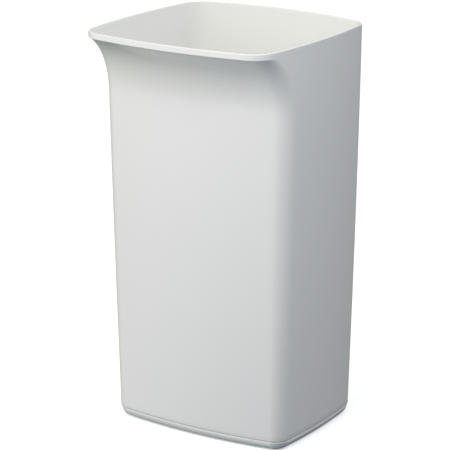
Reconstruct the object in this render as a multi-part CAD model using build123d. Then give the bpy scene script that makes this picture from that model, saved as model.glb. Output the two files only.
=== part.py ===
"""Open-top waste bin: a moulded body with a pull lip, on a screwed-on foot ring with rubber pads.

Millimetres. +Z is up, -Y is the front (the lip), and +X is to the right of someone who faces the front.
The origin is the middle of the overall footprint, on the ground under the pads.
"""

from build123d import *
import math
import os

os.makedirs("parts", exist_ok=True)

# Overall size
height = 590.0
rim_width = 320.0
rim_depth = 315.0  # face of the lip's skirt to the back of the rim

# Lean of each wall from the vertical, in degrees: the body is narrower at the ground
side_lean = 1.37
back_lean = 1.17
front_lean = 1.09
wall_bulge = 1.2  # how far each wall swells outwards halfway up

# Plan shape: every wall is an arc between rounded corners
side_bow = 920.0  # radius of the side walls' arc
front_bow = 755.0
back_bow = 430.0
side_middle = -12.0  # where along Y the side walls are widest
base_corner = 22.0  # corner radius at the ground
cove_corner = 27.0  # front corner radius where the cove starts
lip_corner = 36.0  # front corner radius of the skirt
back_rim_corner = 34.0

# Pull lip: the front wall curls forward in a cove and ends in an upright skirt
lip_overhang = 54.4  # front wall at the foot of the cove to the skirt's face
cove_radius = 97.0
skirt_height = 8.6

# Walls and floor
wall = 2.6
floor_thickness = 3.0
floor_height = 20.0  # ground to the floor's underside
floor_round = 8.0  # inside radius where the walls meet the floor
rim_round = 0.8
base_edge = 1.2  # rounding of the outer wall's lower edge
overcut = 1.0  # how far a cut runs past an open face

# Stiffening ribs under the floor
rib_thickness = 2.0
rib_depth = 6.0
ribs_across = 5
ribs_deep = 4
rib_margin = 8.0  # outer wall to the ends of the ribs

# Foot ring
ring_top = 15.2
ring_bottom = 1.0
ring_step = 0.4  # how far the ring stands back from the body's face
ring_slope = 18.0  # lean of the band under the body, in degrees from the vertical
ring_bend = 7.5  # height above the ring's underside where the band starts to round under
ring_wall = 2.6
ring_flange = 3.2
ring_flange_width = 26.0
ring_window_corner = 30.0
tongue_thickness = 1.8
tongue_height = 4.0
tongue_root = 3.0  # how far the tongue reaches down inside the band
tongue_clearance = 0.3

# Screws that hold the ring, one at each corner
shank_radius = 1.75
shank_length = 10.0
head_radius = 3.7
head_height = 2.4
head_round = 0.8
screw_clearance = 0.1  # around the shank in the body's boss
head_clearance = 0.2
ring_hole_clearance = 0.4  # around the shank in the ring
drive_width = 1.0
drive_length = 4.2
drive_depth = 1.4
tip_length = 1.5
tip_radius = 0.4
cup_wall = 3.0
cup_roof = 2.0
cup_depth = 6.0  # ring underside to the face the head bears on
boss_radius = 5.0
boss_spare = 0.6  # blind hole beyond the screw's tip

# Rubber pads
pad_radius = 9.0
pad_recess = 1.3
pad_clearance = 0.2
pad_edge = 0.6
plug_radius = 3.4
plug_height = 1.7

# The cove's circle, seen from the side: centre and the angles where it starts and ends
cove_start = math.radians(front_lean)
cove_end = math.acos(math.cos(cove_start) - lip_overhang / cove_radius)
skirt_foot = height - skirt_height
cove_y = -rim_depth / 2 - cove_radius * math.cos(cove_end)
cove_z = skirt_foot - cove_radius * math.sin(cove_end)
cove_foot = cove_z + cove_radius * math.sin(cove_start)

# The same cove on the inside of the wall
inner_cove = cove_radius + wall
inner_cove_foot = cove_z + inner_cove * math.sin(cove_start)
inner_cove_end = math.acos((cove_radius * math.cos(cove_end) + wall) / inner_cove)
inner_skirt_foot = cove_z + inner_cove * math.sin(inner_cove_end)


def bulge(z):
    """Outward swell of a wall at height z, zero at the ground and the rim."""
    share = z / height
    return wall_bulge * 4 * share * (1 - share)


def half_width(z):
    return rim_width / 2 - (height - z) * math.tan(math.radians(side_lean)) + bulge(z)


def back_reach(z):
    return rim_depth / 2 - (height - z) * math.tan(math.radians(back_lean)) + bulge(z)


def front_reach(z):
    """Distance from the origin forward to the outer face of the front wall, cove or skirt."""
    if z >= skirt_foot:
        return rim_depth / 2
    if z >= cove_foot:
        return -cove_y - cove_radius * math.cos(math.asin((z - cove_z) / cove_radius))
    return rim_depth / 2 - lip_overhang - (cove_foot - z) * math.tan(cove_start)


def inner_front_reach(z):
    if z >= inner_skirt_foot:
        return rim_depth / 2 - wall
    if z >= inner_cove_foot:
        return -cove_y - inner_cove * math.cos(math.asin((z - cove_z) / inner_cove))
    return front_reach(min(z, cove_foot)) - wall / math.cos(cove_start)


def front_corner(z):
    """Front corner radius: it opens slowly up the wall and faster through the cove."""
    if z <= cove_foot:
        return base_corner + (cove_corner - base_corner) * z / cove_foot
    share = min((z - cove_foot) / (skirt_foot - cove_foot), 1)
    return cove_corner + (lip_corner - cove_corner) * share**2


def back_corner(z):
    return base_corner + (back_rim_corner - base_corner) * z / height


def crossing(centre_a, radius_a, centre_b, radius_b, near):
    """The crossing of two circles that lies nearer to the point near."""
    gap = math.dist(centre_a, centre_b)
    along = (radius_a**2 - radius_b**2 + gap**2) / (2 * gap)
    across = math.sqrt(radius_a**2 - along**2)
    ux = (centre_b[0] - centre_a[0]) / gap
    uy = (centre_b[1] - centre_a[1]) / gap
    foot_x = centre_a[0] + ux * along
    foot_y = centre_a[1] + uy * along
    both = [(foot_x - s * uy * across, foot_y + s * ux * across) for s in (1, -1)]
    return min(both, key=lambda point: math.dist(point, near))


def heading(start, end):
    """Direction from one point to another, in degrees from +X."""
    return math.degrees(math.atan2(end[1] - start[1], end[0] - start[0]))


def wall_centres(z, reach):
    """Centres of the right side, front and back wall arcs at height z. reach is the front wall's."""
    return (half_width(z) - side_bow, side_middle), (0, front_bow - reach), (0, back_reach(z) - back_bow)


def corner_centres(z, reach):
    """Centres of the right front and right back corner arcs at height z."""
    side, fore, aft = wall_centres(z, reach)
    radius = front_corner(z)
    front = crossing(side, side_bow - radius, fore, front_bow - radius, (half_width(z), -reach))
    radius = back_corner(z)
    back = crossing(side, side_bow - radius, aft, back_bow - radius, (half_width(z), back_reach(z)))
    return front, back


def outline(z, inset=0.0, front=None, level=None):
    """Face with the body's plan at height z: four wall arcs and four corner arcs.

    inset moves every arc inwards. front replaces the front wall's reach. level is the height the
    face lies at, when that isn't z.
    """
    reach = front_reach(z) if front is None else front
    side, fore, aft = wall_centres(z, reach)
    front_pin, back_pin = corner_centres(z, reach)
    front_turn = heading(fore, front_pin)
    side_turn = heading(side, front_pin)
    side_end = heading(side, back_pin)
    back_turn = heading(aft, back_pin)
    right = [
        (front_pin, front_corner(z), front_turn, side_turn),
        (side, side_bow, side_turn, side_end),
        (back_pin, back_corner(z), side_end, back_turn),
    ]
    left = [((-pin[0], pin[1]), radius, 180 - end, 180 - start) for pin, radius, start, end in right]
    front_arc = (fore, front_bow, -180 - front_turn, front_turn)
    back_arc = (aft, back_bow, back_turn, 180 - back_turn)
    arcs = [front_arc] + right + [back_arc] + left[::-1]
    edges = [CenterArc(pin, radius - inset, start, end - start) for pin, radius, start, end in arcs]
    return Pos(0, 0, z if level is None else level) * Face(Wire(edges))


def spread(low, high, steps):
    """Evenly spaced heights from low to high."""
    return [low + (high - low) * i / steps for i in range(steps + 1)]


def cove_heights(radius, start, end, steps):
    """Heights at even angles along the cove's arc."""
    return [cove_z + radius * math.sin(angle) for angle in spread(start, end, steps)]


def quarter_steps(steps):
    """Rise and remaining run, from 0 to 1, along a quarter round that turns from level to upright."""
    return [(1 - math.cos(turn), 1 - math.sin(turn)) for turn in spread(0, math.pi / 2, steps)]


# ---------------------------------------------------------------- bin_body
def outer_form():
    """The body as a solid block, from the ring's top to the rim."""
    edge = loft([outline(ring_top + base_edge * rise, base_edge * run) for rise, run in quarter_steps(4)])
    walls = loft([outline(z) for z in spread(ring_top + base_edge, cove_foot, 4)])
    cove = loft([outline(z) for z in cove_heights(cove_radius, cove_start, cove_end, 8)])
    skirt = loft([outline(z) for z in (skirt_foot, height)])
    return edge + walls + cove + skirt


def inner_outline(z, extra=0.0):
    """Plan of the inside at height z. extra insets it further."""
    return outline(z, inset=wall + extra, front=inner_front_reach(z) + wall)


def inner_form():
    """The space inside the bin, from the floor's top to just above the rim."""
    floor_top = floor_height + floor_thickness
    rounding = quarter_steps(5)
    bowl = loft([inner_outline(floor_top + floor_round * rise, floor_round * run) for rise, run in rounding])
    walls = loft([inner_outline(z) for z in spread(floor_top + floor_round, inner_cove_foot, 4)])
    cove = loft([inner_outline(z) for z in cove_heights(inner_cove, cove_start, inner_cove_end, 8)])
    mouth = loft([inner_outline(z) for z in (inner_skirt_foot, height + overcut)])
    return bowl + walls + cove + mouth


def screw_places():
    """Centres of the four corners, where a screw and a pad sit."""
    front, back = corner_centres(ring_top, front_reach(ring_top))
    return {
        "front_left": (-front[0], front[1]),
        "front_right": front,
        "rear_left": (-back[0], back[1]),
        "rear_right": back,
    }


cup_top = ring_bottom + cup_depth + cup_roof
head_face = ring_bottom + cup_depth
hole_end = head_face + shank_length + boss_spare
base_front = front_reach(ring_top)
base_back = back_reach(ring_top)
base_middle = (base_back - base_front) / 2


def floor_ribs():
    """Crossing ribs under the floor, kept clear of the ring's tongue."""
    field = extrude(outline(ring_top, inset=rib_margin, level=floor_height - rib_depth), rib_depth)
    middle = floor_height - rib_depth / 2
    length = 2 * half_width(ring_top)
    reach = base_front + base_back
    ribs = []
    for i in range(ribs_across):
        x = length * ((i + 1) / (ribs_across + 1) - 0.5)
        ribs.append(Pos(x, base_middle, middle) * Box(rib_thickness, reach, rib_depth))
    for i in range(ribs_deep):
        y = base_middle + reach * ((i + 1) / (ribs_deep + 1) - 0.5)
        ribs.append(Pos(0, y, middle) * Box(length, rib_thickness, rib_depth))
    return [field & rib for rib in ribs]


def make_body():
    body = outer_form() - inner_form()
    rim = body.faces().sort_by(Axis.Z)[-1]
    body = fillet(rim.edges(), rim_round)
    body -= loft([outline(z, inset=wall) for z in (ring_top, floor_height)])
    for rib in floor_ribs():
        body += rib
    for x, y in screw_places().values():
        tall = floor_height - cup_top
        body += Pos(x, y, cup_top + tall / 2) * Cylinder(boss_radius, tall)
    for x, y in screw_places().values():
        deep = hole_end - cup_top
        body -= Pos(x, y, cup_top + deep / 2) * Cylinder(shank_radius + screw_clearance, deep)
    return body


# ---------------------------------------------------------------- base_ring
def upright(x, y, low, high, radius):
    """A round bar from one height to another."""
    return Pos(x, y, (low + high) / 2) * Cylinder(radius, high - low)


slope = math.radians(ring_slope)
bend_height = ring_bottom + ring_bend
ring_round = ring_bend / (1 - math.sin(slope))


def ring_inset(z):
    """How far the band's face stands in from the body's at height z."""
    straight = ring_step + (ring_top - max(z, bend_height)) * math.tan(slope)
    if z >= bend_height:
        return straight
    lean_sine = math.sin(slope) + (bend_height - z) / ring_round
    return straight + ring_round * (math.cos(slope) - math.sqrt(1 - min(lean_sine, 1) ** 2))


def band(z, extra=0.0):
    """Plan of the band at height z. extra insets it further."""
    return outline(ring_top, inset=ring_inset(z) + extra, level=z)


def bend_heights(low, steps):
    """Heights down the band's rounding to low, at even turns of its face."""
    end = math.asin(min(math.sin(slope) + (bend_height - low) / ring_round, 1))
    leans = spread(slope, end, steps)
    return [bend_height - ring_round * (math.sin(lean) - math.sin(slope)) for lean in leans]


def make_ring():
    flange_top = ring_bottom + ring_flange
    ring = loft([band(z) for z in (ring_top, bend_height)])
    ring += loft([band(z) for z in bend_heights(ring_bottom, 6)])
    ring -= loft([band(z, ring_wall) for z in (ring_top, bend_height)])
    ring -= loft([band(z, ring_wall) for z in bend_heights(flange_top, 4)])
    tongue_out = wall + tongue_clearance
    tongue_in = tongue_out + tongue_thickness
    tongue = Face(outline(ring_top, inset=tongue_out).wire(), [outline(ring_top, inset=tongue_in).wire()])
    ring += Pos(0, 0, -tongue_root) * extrude(tongue, tongue_root + tongue_height)
    window_width = 2 * (half_width(ring_top) - ring_flange_width)
    window_depth = base_front + base_back - 2 * ring_flange_width
    window = RectangleRounded(window_width, window_depth, ring_window_corner)
    ring -= Pos(0, base_middle, ring_bottom) * extrude(window, ring_flange)
    bore = head_radius + head_clearance
    for x, y in screw_places().values():
        ring += upright(x, y, ring_bottom + pad_recess, cup_top, bore + cup_wall)
    for x, y in screw_places().values():
        ring -= upright(x, y, ring_bottom, ring_bottom + pad_recess, pad_radius + pad_clearance)
        ring -= upright(x, y, ring_bottom, head_face, bore)
        ring -= upright(x, y, head_face, cup_top, shank_radius + ring_hole_clearance)
    return ring


# ---------------------------------------------------------------- ring_screws
def make_screw(x, y):
    """Pan-head self-tapping screw, point up, with a cross recess in its head."""
    low = head_face - head_height
    disc = upright(x, y, low, head_face, head_radius)
    head = fillet(disc.edges().sort_by(Axis.Z)[0], head_round)
    tip_start = head_face + shank_length - tip_length
    tip = Pos(x, y, tip_start + tip_length / 2) * Cone(shank_radius, tip_radius, tip_length)
    screw = head + upright(x, y, head_face, tip_start, shank_radius) + tip
    for turn in (0, 90):
        slot = Box(drive_length, drive_width, drive_depth)
        screw -= Pos(x, y, low + drive_depth / 2) * Rot(0, 0, turn) * slot
    return screw


# ---------------------------------------------------------------- foot pads
def make_pad(x, y):
    """Round rubber pad with a plug that pushes up into the screw's cup."""
    top = ring_bottom + pad_recess
    disc = upright(x, y, 0, top, pad_radius)
    pad = fillet(disc.edges().sort_by(Axis.Z)[0], pad_edge)
    return pad + upright(x, y, top, top + plug_height, plug_radius)


export_step(make_body(), "parts/bin_body.step")
export_step(make_ring(), "parts/base_ring.step")
places = screw_places()
export_step(Compound(children=[make_screw(x, y) for x, y in places.values()]), "parts/ring_screws.step")
for corner, (x, y) in places.items():
    export_step(make_pad(x, y), f"parts/foot_pad_{corner}.step")
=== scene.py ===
# %% [markdown]
# # An open-top waste bin with a pull lip
#
# The real object is a tall moulded bin. Its four walls bow outwards and taper towards the ground,
# and the front wall curls forward into a lip that a hand can pull. A darker foot ring goes round
# the bottom edge, held by four screws, and four rubber pads under the ring keep it off the ground.
#
# The CAD model is the frame: it is loaded first, and every piece below is made around it, at its
# size and in its place. All lengths in Blender are metres.

# %% Load the frame
import math

import bmesh
import bpy
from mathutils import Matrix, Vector


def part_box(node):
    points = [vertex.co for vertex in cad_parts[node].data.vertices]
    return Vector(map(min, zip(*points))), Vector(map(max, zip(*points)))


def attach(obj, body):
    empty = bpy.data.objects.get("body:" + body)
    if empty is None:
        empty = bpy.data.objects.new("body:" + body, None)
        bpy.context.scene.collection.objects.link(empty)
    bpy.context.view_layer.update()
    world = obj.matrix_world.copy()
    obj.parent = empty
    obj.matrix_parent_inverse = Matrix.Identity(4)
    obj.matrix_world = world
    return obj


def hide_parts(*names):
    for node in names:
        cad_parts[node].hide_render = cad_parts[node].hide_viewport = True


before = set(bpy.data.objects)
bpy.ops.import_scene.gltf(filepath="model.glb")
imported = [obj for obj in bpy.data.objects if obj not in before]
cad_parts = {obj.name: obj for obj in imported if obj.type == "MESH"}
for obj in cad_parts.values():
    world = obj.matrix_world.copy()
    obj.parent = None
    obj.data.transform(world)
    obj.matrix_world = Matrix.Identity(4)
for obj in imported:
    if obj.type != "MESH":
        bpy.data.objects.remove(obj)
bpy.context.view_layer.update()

for name in sorted(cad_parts):
    low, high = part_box(name)
    print(name, "is", [round(1000 * (b - a), 1) for a, b in zip(low, high)], "mm")

# %% [markdown]
# ## Sizes
#
# What can be measured is read from the frame: how tall and wide the body is, and where the foot
# ring starts and ends. The few sizes that a box can't tell, such as how far a wall leans or how
# round a corner is, are the maker's own numbers, in millimetres turned into metres.

# %% Sizes of the bin
MM = 0.001

body_low, body_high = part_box("bin_body")
ring_low, ring_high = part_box("base_ring")
height = body_high.z
rim_width = body_high.x - body_low.x
rim_depth = body_high.y - body_low.y
ring_bottom = ring_low.z

sizes = {
    "Height": height,
    "Rim width": rim_width,
    "Rim depth": rim_depth,
    "Side lean": math.radians(1.37),
    "Back lean": math.radians(1.17),
    "Front lean": math.radians(1.09),
    "Wall bulge": 1.2 * MM,
    "Side bow": 920 * MM,
    "Front bow": 755 * MM,
    "Back bow": 430 * MM,
    "Side middle": -12 * MM,
    "Base corner": 22 * MM,
    "Cove corner": 27 * MM,
    "Lip corner": 36 * MM,
    "Back rim corner": 34 * MM,
    "Lip overhang": 54.4 * MM,
    "Cove radius": 97 * MM,
    "Skirt height": 8.6 * MM,
    "Wall": 2.6 * MM,
    "Floor top": 23 * MM,
    "Floor underside": 20 * MM,
    "Floor round": 8 * MM,
    "Rim round": 0.8 * MM,
    "Parting line": 15.2 * MM,
    "Edge round": 1.2 * MM,
    "Skirt edge round": 0.9 * MM,
    "Skirt blend": 1.2 * MM,
}
print("the bin is", round(1000 * height), "mm tall and", round(1000 * rim_width), "mm wide")

# %% [markdown]
# ## Node trees written as sums
#
# Blender's materials and Geometry Nodes are both trees of nodes, and both use the same Math node.
# Written out one node at a time, a formula is hard to read. So a small class wraps a socket and
# lets Python's own signs add the Math nodes: `1 - mask * 2` becomes two of them.

# %% A socket that can be used in a sum


class Value:
    """One socket of a tree. Sums with numbers or other values add Math nodes to the tree."""

    def __init__(self, tree, socket):
        self.tree = tree
        self.socket = socket

    def maths(self, operation, *terms):
        return self.tree.maths(operation, *terms)

    def __add__(self, other):
        return self.maths("ADD", self, other)

    def __radd__(self, other):
        return self.maths("ADD", other, self)

    def __sub__(self, other):
        return self.maths("SUBTRACT", self, other)

    def __rsub__(self, other):
        return self.maths("SUBTRACT", other, self)

    def __mul__(self, other):
        return self.maths("MULTIPLY", self, other)

    def __rmul__(self, other):
        return self.maths("MULTIPLY", other, self)

    def __truediv__(self, other):
        return self.maths("DIVIDE", self, other)

    def __rtruediv__(self, other):
        return self.maths("DIVIDE", other, self)

    def __pow__(self, other):
        return self.maths("POWER", self, other)

    def __neg__(self):
        return self.maths("MULTIPLY", self, -1)

    def __gt__(self, other):
        return self.maths("GREATER_THAN", self, other)

    def __lt__(self, other):
        return self.maths("LESS_THAN", self, other)


class Tree:
    """A node tree under construction."""

    def __init__(self, nodes_of):
        self.nodes_of = nodes_of

    def add(self, kind, settings=None, inputs=None, output=0):
        """A new node: its kind, its settings, then the values or links of its sockets."""
        node = self.nodes_of.nodes.new(kind)
        for key, value in (settings or {}).items():
            if key == "stops":
                for stop, (place, shade) in zip(self.stops_of(node, len(value)), value):
                    stop.position = place
                    stop.color = shade
            else:
                setattr(node, key, value)
        for key, value in (inputs or {}).items():
            socket = node.inputs[key]
            if isinstance(value, Value):
                self.nodes_of.links.new(value.socket, socket)
            else:
                socket.default_value = value
        return Value(self, node.outputs[output])

    def stops_of(self, node, count):
        stops = node.color_ramp.elements
        while len(stops) < count:
            stops.new(0.5)
        return stops

    def maths(self, operation, *terms):
        return self.add("ShaderNodeMath", {"operation": operation}, dict(enumerate(terms)))

    def parts_of(self, vector):
        """The X, Y and Z of a vector."""
        node = self.add("ShaderNodeSeparateXYZ", inputs={0: vector}).socket.node
        return [Value(self, socket) for socket in node.outputs]

    def vector(self, x, y, z):
        return self.add("ShaderNodeCombineXYZ", inputs={0: x, 1: y, 2: z})

    def sin(self, angle):
        return self.maths("SINE", angle)

    def cos(self, angle):
        return self.maths("COSINE", angle)

    def root(self, value):
        return self.maths("SQRT", value)

    def least(self, a, b):
        return self.maths("MINIMUM", a, b)

    def most(self, a, b):
        return self.maths("MAXIMUM", a, b)

    def clamped(self, value):
        return self.least(self.most(value, 0), 1)


print("sums on", Value.__name__, "objects now build node trees")

# %% [markdown]
# ## Geometry Nodes helpers
#
# A modifier's inputs are known inside Blender by an identifier, not by the name on the panel, so
# the helper below looks the identifiers up. It also turns the finished result into a plain mesh and
# throws the modifier away, because the frame wants pieces whose shape is in their mesh.

# %% Run a Geometry Nodes tree into a plain mesh


def geometry_tree(name, inputs):
    """A new Geometry Nodes tree with one named number for each entry of inputs."""
    group = bpy.data.node_groups.new(name, "GeometryNodeTree")
    group.interface.new_socket("Geometry", in_out="OUTPUT", socket_type="NodeSocketGeometry")
    for label, value in inputs.items():
        whole = isinstance(value, int)
        kind = "NodeSocketInt" if whole else "NodeSocketFloat"
        group.interface.new_socket(label, in_out="INPUT", socket_type=kind).default_value = value
    tree = Tree(group)
    entry = group.nodes.new("NodeGroupInput")
    given = {label: Value(tree, entry.outputs[label]) for label in inputs}
    return tree, given


def close_tree(tree, geometry, material):
    """Ends a tree in Realize Instances and Set Material."""
    real = tree.add("GeometryNodeRealizeInstances", inputs={"Geometry": geometry})
    done = tree.add("GeometryNodeSetMaterial", inputs={"Geometry": real, "Material": material})
    out = tree.nodes_of.nodes.new("NodeGroupOutput")
    tree.nodes_of.links.new(done.socket, out.inputs["Geometry"])


def plain_piece(name, tree, inputs, material):
    """Runs the tree with these inputs, and returns its result as an ordinary mesh object."""
    seed = bpy.data.objects.new(name + "_seed", bpy.data.meshes.new(name + "_seed"))
    bpy.context.scene.collection.objects.link(seed)
    modifier = seed.modifiers.new("shape", "NODES")
    modifier.node_group = tree.nodes_of
    for item in tree.nodes_of.interface.items_tree:
        if item.in_out == "INPUT" and item.name in inputs:
            modifier[item.identifier] = inputs[item.name]
    view = bpy.context.evaluated_depsgraph_get()
    mesh = bpy.data.meshes.new_from_object(seed.evaluated_get(view))
    bpy.data.objects.remove(seed)
    mesh.name = name
    if not mesh.materials:
        mesh.materials.append(material)
    piece = bpy.data.objects.new(name, mesh)
    bpy.context.scene.collection.objects.link(piece)
    return piece


def tidy_faces(piece, sharp=40):
    """Turns the faces outwards and smooths the shading, except across edges sharper than sharp."""
    work = bmesh.new()
    work.from_mesh(piece.data)
    bmesh.ops.remove_doubles(work, verts=work.verts, dist=0.002 * MM)
    bmesh.ops.dissolve_degenerate(work, edges=work.edges, dist=0.001 * MM)
    if work.calc_volume(signed=True) < 0:
        bmesh.ops.reverse_faces(work, faces=work.faces)
    open_edges = sum(not edge.is_manifold for edge in work.edges)
    litres = work.calc_volume() * 1000
    work.to_mesh(piece.data)
    work.free()
    piece.data.shade_smooth()
    piece.data.set_sharp_from_angle(angle=math.radians(sharp))
    faces = len(piece.data.polygons)
    print(piece.name, faces, "faces,", open_edges, "open edges,", round(litres, 3), "litres")


print("helpers ready")

# %% [markdown]
# ## The plan of the bin
#
# Seen from above, each wall is a shallow arc and each corner a small one, and neighbouring arcs
# touch without a kink. On such an outline the direction that a point faces grows steadily round
# the loop, so a point is found by adding up how far each arc has been followed. The same sums serve
# the outside and the inside of the wall, because an arc moved inwards only gets a smaller radius.

# %% Corner and outline formulas


def corner_turns(tree, side, side_radius, wall_centre_y, wall_radius, corner, turn):
    """Directions of a corner arc's two ends: first on the front or back wall, then on the side."""
    from_side = side_radius - corner
    from_wall = wall_radius - corner
    across_x = 0 - side[0]
    across_y = wall_centre_y - side[1]
    gap = tree.root(across_x**2 + across_y**2)
    along = (from_side**2 - from_wall**2 + gap**2) / (2 * gap)
    off = tree.root(from_side**2 - along**2) * turn
    x = side[0] + (across_x * along - across_y * off) / gap
    y = side[1] + (across_y * along + across_x * off) / gap
    on_wall = tree.maths("ARCTAN2", y - wall_centre_y, x)
    on_side = tree.maths("ARCTAN2", y - side[1], x - side[0])
    return on_wall, on_side


def outline(tree, column, counts, half_width, front, back, corners, given, inset):
    """Place on the plan for a column number: front middle, right side, back middle, left side."""
    half_loop = sum(counts)
    place = half_loop - tree.maths("ABSOLUTE", column - half_loop)
    mirror = 1 - 2 * (column > half_loop)
    side = (half_width - given["Side bow"], given["Side middle"])
    front_centre = given["Front bow"] - front
    back_centre = back - given["Back bow"]
    turn_1, turn_2 = corner_turns(
        tree, side, given["Side bow"], front_centre, given["Front bow"], corners[0], -1
    )
    turn_4, turn_3 = corner_turns(
        tree, side, given["Side bow"], back_centre, given["Back bow"], corners[1], 1
    )
    turns = [-math.pi / 2, turn_1, turn_2, turn_3, turn_4, math.pi / 2]
    radii = [given["Front bow"], corners[0], given["Side bow"], corners[1], given["Back bow"]]
    x = 0
    y = inset - front
    start = 0
    for count, radius, first, last in zip(counts, radii, turns, turns[1:]):
        share = tree.clamped((place - start) / count)
        angle = share * (last - first) + first
        x = x + (radius - inset) * (tree.cos(angle) - (tree.cos(first) if start else 0))
        y = y + (radius - inset) * (tree.sin(angle) - (tree.sin(first) if start else -1))
        start += count
    return x * mirror, y


print("outline formulas ready")

# %% [markdown]
# ## How the walls rise
#
# The heights and insets of one upright section through the wall follow the same adding-up idea.
# The section starts in the middle of the inside floor, rounds up into the wall, climbs to the rim,
# goes over it and down the outside to the parting line, and comes back under the floor. Each
# stretch is a straight line or a quarter circle, and is finished before the next one starts.

# %% Geometry Nodes tree of the moulded shell

columns = [18, 16, 30, 16, 24]
rows = {
    "floor": 8,
    "floor_round": 8,
    "inner_wall": 30,
    "inner_cove": 24,
    "inner_skirt": 4,
    "rim_in": 4,
    "rim_top": 1,
    "rim_out": 4,
    "skirt": 6,
    "skirt_edge": 8,
    "cove": 34,
    "wall": 60,
    "edge": 3,
    "edge_flat": 1,
    "under_wall": 3,
    "under_floor": 8,
}
cove_limit = 0.999  # share of the cove's circle that is used, short of where it turns level


def shell_tree(material):
    tree, given = geometry_tree("moulded_shell", sizes)
    count_x = 2 * sum(columns)
    count_y = sum(rows.values())
    grid = tree.add(
        "GeometryNodeMeshGrid",
        inputs={"Size X": 1.0, "Size Y": 1.0, "Vertices X": count_x + 1, "Vertices Y": count_y + 1},
    )
    across, along, _ = tree.parts_of(tree.add("GeometryNodeInputPosition"))
    column = tree.maths("ROUND", (across + 0.5) * count_x)
    row = tree.maths("ROUND", (along + 0.5) * count_y)

    starts = {}
    done = 0
    for name, count in rows.items():
        starts[name] = done
        done += count

    def share(name):
        return tree.clamped((row - starts[name]) / rows[name])

    def quarter(name):
        angle = share(name) * (math.pi / 2)
        return tree.sin(angle), 1 - tree.cos(angle)

    wall = given["Wall"]
    tall = given["Height"]
    half_depth = given["Rim depth"] / 2
    lean = given["Front lean"]
    radius = given["Cove radius"]
    cove_end = tree.maths("ARCCOSINE", tree.cos(lean) - given["Lip overhang"] / radius)
    skirt_foot = tall - given["Skirt height"]
    cove_y = 0 - half_depth - radius * tree.cos(cove_end)
    cove_z = skirt_foot - radius * tree.sin(cove_end)
    cove_foot = cove_z + radius * tree.sin(lean)
    inner_radius = radius + wall
    inner_foot = cove_z + inner_radius * tree.sin(lean)
    inner_end = tree.maths("ARCCOSINE", (radius * tree.cos(cove_end) + wall) / inner_radius)
    inner_skirt = cove_z + inner_radius * tree.sin(inner_end)
    near_edge = given["Skirt edge round"]
    upper_end = tree.maths("ARCSINE", (skirt_foot - near_edge - cove_z) / radius)

    z = given["Floor top"]
    inset = wall + given["Floor round"]
    rise, run = quarter("floor_round")
    z = z + given["Floor round"] * run
    inset = inset - given["Floor round"] * rise
    z = z + (inner_foot - given["Floor top"] - given["Floor round"]) * share("inner_wall")
    inner_turn = share("inner_cove") * (inner_end - lean) + lean
    z = z + inner_radius * (tree.sin(inner_turn) - tree.sin(lean))
    z = z + (tall - given["Rim round"] - inner_skirt) * share("inner_skirt")
    rise, run = quarter("rim_in")
    z = z + given["Rim round"] * rise
    inset = inset - given["Rim round"] * run
    inset = inset - (wall - 2 * given["Rim round"]) * share("rim_top")
    rise, run = quarter("rim_out")
    z = z - given["Rim round"] * run
    inset = inset - given["Rim round"] * rise
    z = z - (given["Skirt height"] - given["Rim round"] - near_edge) * share("skirt")
    z = z - 2 * near_edge * share("skirt_edge")
    outer_turn = share("cove") * (lean - upper_end) + upper_end
    z = z - radius * (tree.sin(upper_end) - tree.sin(outer_turn))
    z = z - (cove_foot - given["Parting line"] - given["Edge round"]) * share("wall")
    rise, run = quarter("edge")
    z = z - given["Edge round"] * rise
    inset = inset + given["Edge round"] * run
    inset = inset + (wall - given["Edge round"]) * share("edge_flat")
    z = z + (given["Floor underside"] - given["Parting line"]) * share("under_wall")
    scale = share("floor") - share("under_floor")

    def front_reach(foot, circle, extra):
        """Reach of the front wall, cove and skirt, with a small round where cove meets skirt."""
        top = cove_z + circle * cove_limit
        level = tree.least(tree.most(z, foot), top)
        arc = 0 - cove_y - tree.root(circle**2 - (level - cove_z) ** 2) + extra
        leaning = arc - tree.most(foot - z, 0) * tree.maths("TANGENT", lean)
        return tree.maths("SMOOTH_MIN", leaning, half_depth, given["Skirt blend"])

    outside = row > starts["rim_top"]
    inside_front = front_reach(inner_foot, inner_radius, wall)
    outside_front = front_reach(cove_foot, radius, 0)
    front = outside * (outside_front - inside_front) + inside_front

    part = z / tall
    bulge = given["Wall bulge"] * 4 * part * (1 - part)
    side_inset = (tall - z) * tree.maths("TANGENT", given["Side lean"])
    half_width = given["Rim width"] / 2 - side_inset + bulge
    back_inset = (tall - z) * tree.maths("TANGENT", given["Back lean"])
    back = half_depth - back_inset + bulge
    up_wall = tree.clamped(z / cove_foot)
    up_cove = tree.clamped((z - cove_foot) / (skirt_foot - cove_foot))
    front_corner = (
        given["Base corner"]
        + (given["Cove corner"] - given["Base corner"]) * up_wall
        + (given["Lip corner"] - given["Cove corner"]) * up_cove**2
    )
    back_corner = given["Base corner"] + (given["Back rim corner"] - given["Base corner"]) * part

    rounds = (front_corner, back_corner)
    x, y = outline(tree, column, columns, half_width, front, back, rounds, given, inset)
    middle = (back - front) / 2
    y = middle + (y - middle) * scale
    place = tree.vector(x * scale, y, z)
    shaped = tree.add("GeometryNodeSetPosition", inputs={"Geometry": grid, "Position": place})
    weld = {"Geometry": shaped, "Distance": 0.001 * MM}
    closed = tree.add("GeometryNodeMergeByDistance", inputs=weld)
    close_tree(tree, closed, material)
    return tree


body_plastic = bpy.data.materials.new("white_moulding")
shell = shell_tree(body_plastic)
print("the shell tree has", len(shell.nodes_of.nodes), "nodes")

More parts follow.
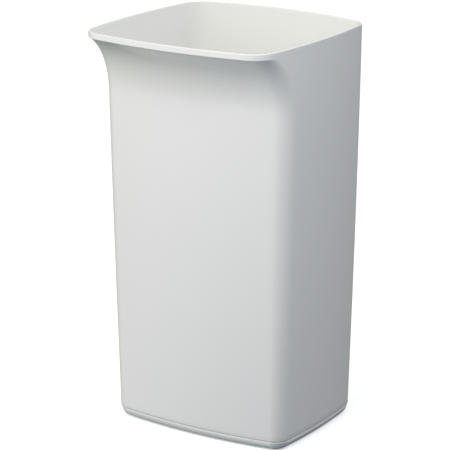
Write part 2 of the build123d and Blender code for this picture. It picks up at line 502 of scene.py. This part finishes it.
# %% Grow the shell and check it against the CAD body
bin_shell = plain_piece("bin_shell", shell, sizes, body_plastic)
tidy_faces(bin_shell)
grown_low = [min(v.co[i] for v in bin_shell.data.vertices) for i in range(3)]
grown_high = [max(v.co[i] for v in bin_shell.data.vertices) for i in range(3)]
for label, ends in (("CAD body", (body_low, body_high)), ("grown body", (grown_low, grown_high))):
    print(label, [[round(v * 1000, 2) for v in end] for end in ends])

# %% [markdown]
# ## Ribs under the floor
#
# The floor is one thin sheet, so the mould gives it a grid of ribs. They repeat at an even pitch,
# which is what Geometry Nodes are for: one rib shape is placed at every point of a line of points.
# Each rib is a little thinner at its free edge, so that the moulding slides off its tool, and its
# ends follow the curve of the walls. One tree makes either set, across the bin or along it.

# %% Rib tree

rib_sizes = {
    "Count": 5,
    "Thickness": 2 * MM,
    "Depth": 6 * MM,
    "Foot": 14 * MM,
    "Span": 1.0,
    "Middle": 0.0,
    "Low bow": 1.0,
    "Low end": -1.0,
    "High bow": 1.0,
    "High end": 1.0,
    "Bow middle": 0.0,
}
rib_draft = 0.3


def rib_tree(name, material, along_y):
    """Ribs side by side. Low and high bows are the arcs that the rib ends reach to."""
    tree, given = geometry_tree(name, rib_sizes)
    block = tree.add("GeometryNodeMeshCube", inputs={"Size": (1, 1, 1), "Vertices Y": 3})
    x, y, z = tree.parts_of(tree.add("GeometryNodeInputPosition"))
    narrow = 1 - (0.5 - z) * rib_draft
    tapered = {"Geometry": block, "Position": tree.vector(x * narrow, y, z)}
    bar = tree.add("GeometryNodeSetPosition", inputs=tapered)
    pitch = given["Span"] / (given["Count"] + 1)
    first = given["Middle"] - given["Span"] / 2 + pitch
    start = tree.vector(first, 0, 0)
    step = tree.vector(pitch, 0, 0)
    row = {"Count": given["Count"], "Start Location": start, "Offset": step}
    line = tree.add("GeometryNodeMeshLine", inputs=row)
    place, _, _ = tree.parts_of(tree.add("GeometryNodeInputPosition"))
    off = place - given["Bow middle"]
    low = given["Low end"] + given["Low bow"] - tree.root(given["Low bow"] ** 2 - off**2)
    high = given["High end"] - given["High bow"] + tree.root(given["High bow"] ** 2 - off**2)
    centre = tree.vector(place, (low + high) / 2, given["Foot"] + given["Depth"] / 2)
    moved = tree.add("GeometryNodeSetPosition", inputs={"Geometry": line, "Position": centre})
    kept = {
        "Geometry": moved,
        "Name": "rib_size",
        "Value": tree.vector(given["Thickness"], high - low, given["Depth"]),
    }
    vector_kind = {"data_type": "FLOAT_VECTOR"}
    marked = tree.add("GeometryNodeStoreNamedAttribute", {**vector_kind, "domain": "POINT"}, kept)
    read = tree.add("GeometryNodeInputNamedAttribute", vector_kind, {"Name": "rib_size"})
    copies = {"Points": marked, "Instance": bar, "Scale": read}
    ribs = tree.add("GeometryNodeInstanceOnPoints", inputs=copies)
    turn = 0 if along_y else math.pi / 2
    turned = tree.add("GeometryNodeTransform", inputs={"Geometry": ribs, "Rotation": (0, 0, turn)})
    close_tree(tree, turned, material)
    return tree


# %% Place the ribs
ring_top = sizes["Parting line"]
rib_margin = 8 * MM
base_half_width = rim_width / 2 - (height - ring_top) * math.tan(sizes["Side lean"])
base_half_width += sizes["Wall bulge"] * 4 * (ring_top / height) * (1 - ring_top / height)
ring_step = base_half_width - ring_high.x
base_front = -ring_low.y + ring_step
base_back = ring_high.y + ring_step
base_middle = (base_back - base_front) / 2

ribs_deep = plain_piece(
    "floor_ribs_deep",
    rib_tree("ribs_deep", body_plastic, True),
    {
        "Span": 2 * base_half_width,
        "Low bow": sizes["Front bow"] - rib_margin,
        "Low end": rib_margin - base_front,
        "High bow": sizes["Back bow"] - rib_margin,
        "High end": base_back - rib_margin,
    },
    body_plastic,
)
ribs_across = plain_piece(
    "floor_ribs_across",
    rib_tree("ribs_across", body_plastic, False),
    {
        "Count": 4,
        "Span": base_front + base_back,
        "Middle": base_middle,
        "Bow middle": sizes["Side middle"],
        "Low bow": sizes["Side bow"] - rib_margin,
        "Low end": rib_margin - base_half_width,
        "High bow": sizes["Side bow"] - rib_margin,
        "High end": base_half_width - rib_margin,
    },
    body_plastic,
)
for piece in (ribs_deep, ribs_across):
    tidy_faces(piece)

# %% [markdown]
# ## Turned parts
#
# The rubber pads and the screw bosses are round, so each is one outline spun about its own upright
# axis. The outline is written as points (distance from the axis, height), with quarter rounds made
# by a small function, and both ends lie on the axis so that the skin is closed.

# %% Spin an outline at several places


def quarter_round(centre, radius, start, steps=6):
    """Points of a quarter circle, from the angle start, in degrees, a quarter turn onwards."""
    x, y = centre
    turns = [math.radians(start + 90 * i / steps) for i in range(steps + 1)]
    return [(x + radius * math.cos(turn), y + radius * math.sin(turn)) for turn in turns]


def turned(name, outline_points, places, material, segments=64):
    """A closed turned shape at each place. The outline runs from the axis to the axis."""
    mesh = bpy.data.meshes.new(name)
    points = []
    faces = []
    for x, y in places:
        start = len(points)
        for reach, level in outline_points:
            for i in range(segments):
                turn = 2 * math.pi * i / segments
                points.append((x + reach * math.cos(turn), y + reach * math.sin(turn), level))
        for ring in range(len(outline_points) - 1):
            for i in range(segments):
                a = start + ring * segments + i
                b = start + ring * segments + (i + 1) % segments
                faces.append((a, b, b + segments, a + segments))
    mesh.from_pydata(points, [], faces)
    mesh.materials.append(material)
    piece = bpy.data.objects.new(name, mesh)
    bpy.context.scene.collection.objects.link(piece)
    tidy_faces(piece, sharp=35)
    return piece


def centre_of(node):
    low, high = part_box(node)
    return (low.x + high.x) / 2, (low.y + high.y) / 2


pad_names = ["foot_pad_" + end + side for end in ("front_", "rear_") for side in ("left", "right")]
corners = {name: centre_of(name) for name in pad_names}
print({name: [round(v * 1000, 1) for v in place] for name, place in corners.items()})

# %% Screw bosses under the floor
boss_radius = 5 * MM
boss_foot = 9.0 * MM
boss_hole = 1.85 * MM
boss_edge = 0.4 * MM
hole_end = 17.6 * MM
floor_under = sizes["Floor underside"]
boss_outline = [(0, hole_end), (boss_hole, hole_end), (boss_hole, boss_foot + boss_edge)]
boss_outline += [(boss_hole + boss_edge, boss_foot)]
boss_outline += quarter_round((boss_radius - boss_edge, boss_foot + boss_edge), boss_edge, -90)
boss_outline += [(boss_radius, floor_under), (0, floor_under)]
bosses = turned("screw_bosses", boss_outline, corners.values(), body_plastic, segments=40)

# %% [markdown]
# ## Rubber pads
#
# Each pad is a disc that stands on the ground, with a plug that pushes up into the cup of the ring.
# Moulded rubber pads have fine grooves round their sole, which stop them from sliding, and a small
# round on every edge. The grooves are real geometry here, because they are large enough to see.

# %% Pads
pad_rubber = bpy.data.materials.new("black_rubber")
pad_low, pad_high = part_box(pad_names[0])
pad_radius = (pad_high.x - pad_low.x) / 2
plug_radius = 3.4 * MM
plug_height = 1.7 * MM
plug_edge = 0.3 * MM
pad_top = pad_high.z - plug_height
pad_edge = 0.6 * MM
pad_top_edge = 0.2 * MM
groove_width = 0.8 * MM
groove_depth = 0.5 * MM
groove_slant = groove_width / 4
first_groove = 2.2
groove_pitch = 2.4
groove_places = [(first_groove + groove_pitch * i) * MM for i in range(3)]

sole = [(0, 0)]
for middle in groove_places:
    inner = middle - groove_width / 2
    outer = middle + groove_width / 2
    sole += [(inner, 0), (inner + groove_slant, groove_depth)]
    sole += [(outer - groove_slant, groove_depth), (outer, 0)]
pad_outline = sole + quarter_round((pad_radius - pad_edge, pad_edge), pad_edge, -90)
pad_outline += [(pad_radius, pad_top - pad_top_edge), (pad_radius - pad_top_edge, pad_top)]
pad_outline += [(plug_radius, pad_top), (plug_radius, pad_high.z - plug_edge)]
pad_outline += [(plug_radius - plug_edge, pad_high.z), (0, pad_high.z)]
pads = {}
for name, place in corners.items():
    pads[name] = turned(name.replace("foot_", "") + "_rubber", pad_outline, [place], pad_rubber)

# %% [markdown]
# ## Foot ring and screws
#
# The ring's sloping band, its flange, its tongue and the four screw cups already have their true
# shape in the CAD model. A CAD mesh is loose triangles, so a copy is welded and smoothed, and the
# copy stands in for the node. The screws get the same copy, plus the coiled thread that the CAD
# screws leave out.

# %% Welded copies of CAD nodes


def welded(node, name, material, sharp):
    """A copy of a CAD node's mesh with its vertices joined and its smooth faces shaded smooth."""
    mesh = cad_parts[node].data.copy()
    mesh.name = name
    mesh.materials.clear()
    mesh.materials.append(material)
    piece = bpy.data.objects.new(name, mesh)
    bpy.context.scene.collection.objects.link(piece)
    tidy_faces(piece, sharp)
    return piece


ring_plastic = bpy.data.materials.new("matt_moulding")
screw_steel = bpy.data.materials.new("zinc_plate")
foot_ring = welded("base_ring", "foot_ring", ring_plastic, sharp=22)
screws = welded("ring_screws", "screws", screw_steel, sharp=30)

# %% [markdown]
# A screw thread is a ridge with a triangular section that climbs along a helix. Geometry Nodes draw
# the helix as a spiral curve, sweep the triangle along it, and put one copy on each screw.

# %% Threads on the four screws
thread_sizes = {
    "Pitch": 1.3 * MM,
    "Root": 1.62 * MM,
    "Crest": 0.34 * MM,
    "Length": 7.6 * MM,
    "Foot": 7.7 * MM,
}


def thread_tree(material, places):
    tree, given = geometry_tree("screw_thread", thread_sizes)
    helix = tree.add(
        "GeometryNodeCurveSpiral",
        inputs={
            "Resolution": 24,
            "Rotations": given["Length"] / given["Pitch"],
            "Start Radius": given["Root"],
            "End Radius": given["Root"],
            "Height": given["Length"],
        },
    )
    triangle = {"Resolution": 3, "Radius": given["Crest"]}
    ridge = tree.add("GeometryNodeCurvePrimitiveCircle", inputs=triangle)
    sweep = {"Curve": helix, "Profile Curve": ridge, "Fill Caps": True}
    swept = tree.add("GeometryNodeCurveToMesh", inputs=sweep)
    spots = []
    for x, y in places:
        foot = tree.vector(x, y, given["Foot"])
        spots.append(tree.add("GeometryNodeMeshLine", inputs={"Count": 1, "Start Location": foot}))
    join = tree.add("GeometryNodeJoinGeometry")
    for spot in spots:
        tree.nodes_of.links.new(spot.socket, join.socket.node.inputs["Geometry"])
    copies = tree.add("GeometryNodeInstanceOnPoints", inputs={"Points": join, "Instance": swept})
    close_tree(tree, copies, material)
    return tree


thread = thread_tree(screw_steel, corners.values())
threads = plain_piece("screw_threads", thread, thread_sizes, screw_steel)
tidy_faces(threads)

# %% [markdown]
# ## What each piece stands for
#
# Each piece is hung on a body and hides the CAD node that it stands for; the finish named beside it
# is only printed. Nothing on this bin moves, so everything rides on the one root body.

# %% Tie the pieces to the frame
ties = [
    (bin_shell, "bin_body", "body_plastic"),
    (ribs_deep, "bin_body", "body_plastic"),
    (ribs_across, "bin_body", "body_plastic"),
    (bosses, "bin_body", "body_plastic"),
    (foot_ring, "base_ring", "ring_plastic"),
    (screws, "ring_screws", "screw_steel"),
    (threads, "ring_screws", "screw_steel"),
]
ties += [(piece, name, "pad_rubber") for name, piece in pads.items()]
for piece, node, slot in ties:
    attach(piece, "root")
    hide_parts(node)
    print(piece.name, "stands for", node, "in", slot)

# %% [markdown]
# ## Finishes
#
# Every finish is worked out from the place of a point on the object, in metres, so that no picture
# is needed. Three things vary over a surface: its colour, how rough it is, and tiny bumps that only
# the light shows. Numbers that stay the same all over, such as how much the plastic bends light,
# are set on the shader itself.

# %% Tools for finishes


def blend(tree, share, first, second):
    """Mixes two colours by share."""
    return tree.add(
        "ShaderNodeMix", {"data_type": "RGBA"}, {0: share, "A": first, "B": second}, output="Result"
    )


def cloud(tree, spot, size, detail=2.0):
    """Soft random patches between 0 and 1, about size metres across."""
    inputs = {"Vector": spot, "Scale": 1 / size, "Detail": detail}
    return tree.add("ShaderNodeTexNoise", inputs=inputs)


def stretched(tree, spot, x, y, z):
    """The place with each direction scaled, which draws a pattern out along the small ones."""
    inputs = {"Vector": spot, "Scale": (x, y, z)}
    return tree.add("ShaderNodeMapping", {"vector_type": "POINT"}, inputs)


def near(tree, value, level, reach):
    """1 where value is at level, falling to 0 at reach on either side."""
    return tree.clamped(1 - tree.maths("ABSOLUTE", value - level) / reach)


def step_up(tree, value, low, high):
    """0 below low, 1 above high, and even in between."""
    return tree.clamped((value - low) / (high - low))


def dress(material, colour, rough, height, depth, **constants):
    """Feeds the shader: what varies is linked, and what stays the same is set on its sockets."""
    tree = Tree(material.node_tree)
    shader = material.node_tree.nodes["Principled BSDF"]
    relief = {"Strength": 1.0, "Distance": depth, "Height": height}
    bump = tree.add("ShaderNodeBump", inputs=relief, output="Normal")
    for socket, value in (("Base Color", colour), ("Roughness", rough), ("Normal", bump)):
        material.node_tree.links.new(value.socket, shader.inputs[socket])
    for socket, value in constants.items():
        shader.inputs[socket.replace("_", " ")].default_value = value
    print(material.name, "has", len(material.node_tree.nodes), "nodes")


def start_finish(material):
    material.use_nodes = True
    tree = Tree(material.node_tree)
    spot = tree.add("ShaderNodeTexCoord", output="Object")
    return tree, spot


# %% [markdown]
# ## White moulded plastic
#
# The bin is white polypropylene with a soft gloss. A plain white would look like plaster, so the
# finish adds what a real moulding has: a slow drift of tone, faint upright flow marks where the
# plastic ran up the mould, a very fine skin grain, dull scuffs low down and along the lip, and
# slightly greyed edges where hands and bags rub. Painted shade darkens the seam above the foot
# ring.

# %% Body finish
white = (0.802, 0.806, 0.785, 1)
shade = (0.768, 0.772, 0.753, 1)
grime = (0.46, 0.45, 0.42, 1)
# Painted shade: a dark colour laid along the seam above the foot ring, in place of the crease's
# shadow.
painted_seam_shade = (0.30, 0.30, 0.29, 1)


def plastic_finish(material, light, dark, gloss, scuffed):
    """A moulding between two tones. Gloss is its roughness, and scuffed is how worn it is."""
    tree, spot = start_finish(material)
    _, _, z = tree.parts_of(spot)
    drift = cloud(tree, spot, 160 * MM)
    flow = cloud(tree, stretched(tree, spot, 1, 1, 0.06), 9 * MM, 3.0)
    grain = cloud(tree, spot, 0.35 * MM)
    skin = cloud(tree, spot, 2.2 * MM, 3.0)
    tone = tree.clamped(drift * 0.7 + flow * 0.3)
    colour = blend(tree, tone, light, dark)

    streaks = cloud(tree, stretched(tree, spot, 1, 1, 0.12), 1.2 * MM, 4.0)
    scratch = step_up(tree, streaks, 0.60, 0.72)
    patchy = step_up(tree, cloud(tree, spot, 24 * MM, 3.0), 0.46, 0.66)
    low_down = 1 - step_up(tree, z, 15 * MM, 75 * MM)
    lip_line = near(tree, z, height - sizes["Skirt height"], 1.6 * MM)
    rim_line = near(tree, z, height, 1.0 * MM)
    foot_line = near(tree, z, sizes["Parting line"], 1.2 * MM)
    edges = tree.most(tree.most(lip_line, rim_line), foot_line)
    scuffs = tree.clamped(scratch * patchy * (low_down * 0.8 + 0.06) * scuffed)
    worn = tree.clamped(edges * (patchy * 0.35 + 0.10) * scuffed)
    colour = blend(tree, scuffs * 0.35, colour, grime)
    colour = blend(tree, worn * 0.25, colour, grime)
    # Painted shade: the colour darkens along the parting line on the body and the foot ring, in
    # place of the shadow in the seam.
    painted_seam_mask = near(tree, z, sizes["Parting line"], 1.4 * MM)
    colour = blend(tree, painted_seam_mask * 0.55, colour, painted_seam_shade)

    rough = gloss + (drift - 0.5) * 0.08 + (flow - 0.5) * 0.05 + scuffs * 0.25 + worn * 0.2
    bumps = grain * 0.25 + skin * 0.55 + flow * 0.8 - scuffs * 0.8
    dress(material, colour, rough, bumps, 0.012 * MM, IOR=1.49)


plastic_finish(body_plastic, white, shade, gloss=0.22, scuffed=1.0)

# %% [markdown]
# ## Foot ring, rubber and steel
#
# The ring is moulded from the same plastic in a finer matt, and picks up more scuffs than the body
# because it meets shoes and brooms. Rubber is nearly black, quite rough and never even. The screws
# are zinc-plated: a pale metal with a slightly blotchy, brushed skin.

# %% Ring, pad and screw finishes
ring_white = (0.722, 0.728, 0.708, 1)
ring_shade = (0.686, 0.694, 0.674, 1)
plastic_finish(ring_plastic, ring_white, ring_shade, gloss=0.48, scuffed=1.2)


def rubber_finish(material):
    tree, spot = start_finish(material)
    patch = cloud(tree, spot, 5 * MM, 3.0)
    speck = cloud(tree, spot, 0.4 * MM)
    dusty = step_up(tree, patch, 0.42, 0.70)
    colour = blend(tree, dusty * 0.5, (0.022, 0.022, 0.023, 1), (0.085, 0.083, 0.078, 1))
    rough = 0.62 + dusty * 0.22
    dress(material, colour, rough, speck * 0.7 + patch * 0.6, 0.05 * MM, IOR=1.52)


def zinc_finish(material):
    tree, spot = start_finish(material)
    crystals = {"Vector": spot, "Scale": 1 / (1.1 * MM)}
    blotch = tree.add("ShaderNodeTexVoronoi", inputs=crystals, output="Color")
    tone, _, _ = tree.parts_of(blotch)
    brushed = cloud(tree, stretched(tree, spot, 1, 1, 12), 0.5 * MM, 3.0)
    colour = blend(tree, tone, (0.60, 0.61, 0.62, 1), (0.70, 0.70, 0.68, 1))
    rough = 0.26 + tone * 0.10 + brushed * 0.12
    dress(material, colour, rough, brushed, 0.01 * MM, Metallic=1.0)


rubber_finish(pad_rubber)
zinc_finish(screw_steel)

# %% [markdown]
# ## Studio
#
# The bin stands on a plain pale floor. The light is soft: a sky that is brightest at the front
# left, and two soft boxes. The floor is kept from throwing light back up at the bin, so that the
# sky alone says how bright the underside of the lip is. The floor is clear when it is seen from
# below, which lets the underside of the bin be looked at.

# %% Pale floor
floor_half = 14
floor_glow = 0.34
floor_mesh = bpy.data.meshes.new("studio_floor")
floor_corners = [(-1, -1), (1, -1), (1, 1), (-1, 1)]
floor_points = [(x * floor_half, y * floor_half, 0) for x, y in floor_corners]
floor_mesh.from_pydata(floor_points, [], [(0, 1, 2, 3)])
studio_floor = bpy.data.objects.new("studio_floor", floor_mesh)
bpy.context.scene.collection.objects.link(studio_floor)
floor_paint = bpy.data.materials.new("floor_paint")
floor_paint.use_nodes = True
paint = floor_paint.node_tree.nodes["Principled BSDF"]
paint.inputs["Base Color"].default_value = (0.92, 0.92, 0.92, 1)
paint.inputs["Roughness"].default_value = 0.95
paint.inputs["Specular IOR Level"].default_value = 0.0
paint.inputs["Emission Color"].default_value = (1, 1, 1, 1)
paint.inputs["Emission Strength"].default_value = floor_glow
floor_tree = Tree(floor_paint.node_tree)
under = floor_tree.add("ShaderNodeNewGeometry", output="Backfacing")
floor_paint.node_tree.links.new((1 - under).socket, paint.inputs["Alpha"])
floor_mesh.materials.append(floor_paint)
studio_floor.visible_diffuse = False
studio_floor.visible_glossy = False
print("the floor is", 2 * floor_half, "m wide")

# %% Light
world = bpy.data.worlds.new("studio_world")
bpy.context.scene.world = world
world.use_nodes = True
bpy.context.scene.view_settings.view_transform = "Standard"
sky_focus = 6  # a higher power draws each light of the sky together


def studio_sky(lobes):
    """Soft light from several directions: (azimuth, height) in degrees, then strength and colour.

    The camera itself sees plain white in place of the lights.
    """
    tree = Tree(world.node_tree)
    ray = tree.add("ShaderNodeTexCoord", output="Generated")
    total = None
    for (turn, rise), colour in lobes.items():
        turn = math.radians(turn)
        rise = math.radians(rise)
        level = math.cos(rise)
        aim = (math.sin(turn) * level, -math.cos(turn) * level, math.sin(rise))
        towards = {"operation": "DOT_PRODUCT"}
        dot = tree.add("ShaderNodeVectorMath", towards, {0: ray, 1: aim}, output="Value")
        share = {0: colour, "Scale": tree.most(dot, 0) ** sky_focus}
        glow = tree.add("ShaderNodeVectorMath", {"operation": "SCALE"}, share)
        if total is not None:
            glow = tree.add("ShaderNodeVectorMath", {"operation": "ADD"}, {0: total, 1: glow})
        total = glow
    seen = tree.add("ShaderNodeLightPath", output="Is Camera Ray")
    choice = {"Factor": seen, 4: total, 5: (1, 1, 1)}
    plain = tree.add("ShaderNodeMix", {"data_type": "VECTOR"}, choice, output=1)
    backdrop = world.node_tree.nodes["Background"]
    world.node_tree.links.new(plain.socket, backdrop.inputs["Color"])
    backdrop.inputs["Strength"].default_value = 1.0
    print("the sky has", len(lobes), "soft lights")


studio_sky(
    {
        (-45, 0): (0.24, 0.24, 0.77),
        (0, 40): (0.0, 0.05, 0.19),
        (45, 40): (0.37, 0.37, 0.33),
        (135, 40): (1.57, 1.59, 1.68),
        (-45, 40): (2.32, 2.32, 1.92),
        (-150, 10): (0.85, 0.85, 0.85),
        (-60, -40): (1.36, 1.36, 0.84),
        (0, -80): (0.24, 0.37, 0.66),
    }
)


def soft_box(name, place, size, power, colour):
    """A square lamp that faces the middle of the bin. Its power is in watts."""
    lamp = bpy.data.lights.new(name, "AREA")
    lamp.size = size
    lamp.energy = power
    lamp.color = colour
    light = bpy.data.objects.new(name, lamp)
    bpy.context.scene.collection.objects.link(light)
    light.location = place
    aim = Vector((0, 0, lamp_aim)) - light.location
    light.rotation_euler = aim.to_track_quat("-Z", "Y").to_euler()
    light.visible_camera = False
    print(name, "gives", power, "W from", place)


lamp_aim = 0.33  # height that the boxes face
soft_box("right_box", (1.3, -0.9, 1.4), size=1.0, power=15.4, colour=(0.94, 0.965, 1.0))
soft_box("top_box", (0, -1.0, 1.25), size=0.7, power=5.2, colour=(1.0, 0.90, 0.79))

# %% [markdown]
# ## Camera
#
# The camera stands in front of the bin and to its right, a little above it, with a long lens.

# %% Camera
azimuth = math.radians(33.93)
elevation = math.radians(16.07)
distance = 3.510
back = Vector(
    (
        math.sin(azimuth) * math.cos(elevation),
        -math.cos(azimuth) * math.cos(elevation),
        math.sin(elevation),
    )
)
right = Vector((math.cos(azimuth), math.sin(azimuth), 0))
aim_forward = 8 * MM
aim_raise = 3.75 * MM
target = Vector((0, -aim_forward, height / 2)) + back.cross(right) * aim_raise
lens = bpy.data.cameras.new("camera")
lens.lens = 194.16
lens.sensor_width = 36
camera = bpy.data.objects.new("camera", lens)
bpy.context.scene.collection.objects.link(camera)
camera.location = target + back * distance
camera.rotation_euler = (-back).to_track_quat("-Z", "Y").to_euler()
bpy.context.scene.camera = camera
print("the camera stands at", [round(v, 3) for v in camera.location])
